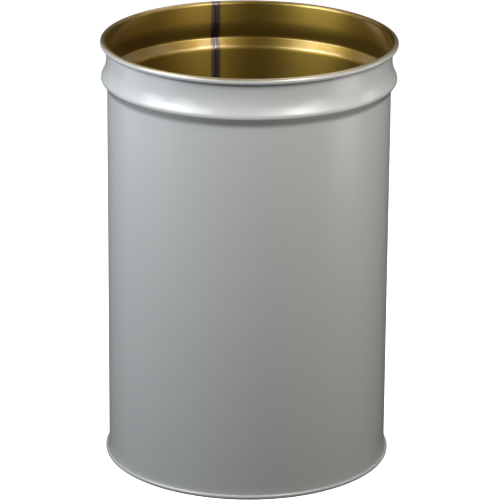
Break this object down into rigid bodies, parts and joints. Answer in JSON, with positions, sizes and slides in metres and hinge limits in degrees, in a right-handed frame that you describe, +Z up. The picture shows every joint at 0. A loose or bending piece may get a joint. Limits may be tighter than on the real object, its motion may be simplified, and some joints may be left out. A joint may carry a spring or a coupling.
{
  "type": "oily waste can",
  "caption": "Open-top straight-sided steel waste can with a rolled mouth, a stiffening bead below it, a welded side seam and a seamed-on bottom, grey outside and lacquered gold inside.",
  "frame": {"origin": "centre of the circle that the can stands on, on the floor", "axes": "+Z up along the can's axis; +Y from the axis through the welded side seam; +X to the right when the seam is at the back"},
  "size_m": [0.3816, 0.3816, 0.5604],
  "materials": {
    "wall": "semi-gloss grey enamel outside and on the rim, clear gold lacquer on bare steel inside",
    "weld": "bare rolled-down weld inside with dark heat-tinted margins, enamelled outside",
    "bottom": "semi-gloss grey enamel underneath, clear gold lacquer above",
    "compound": "matt sealing compound"
  },
  "bodies": {
    "root": {"body_shell": "wall", "side_seam_weld": "weld", "bottom_head": "bottom", "seam_compound_lower": "compound", "seam_compound_upper": "compound"}
  },
  "joints": []
}
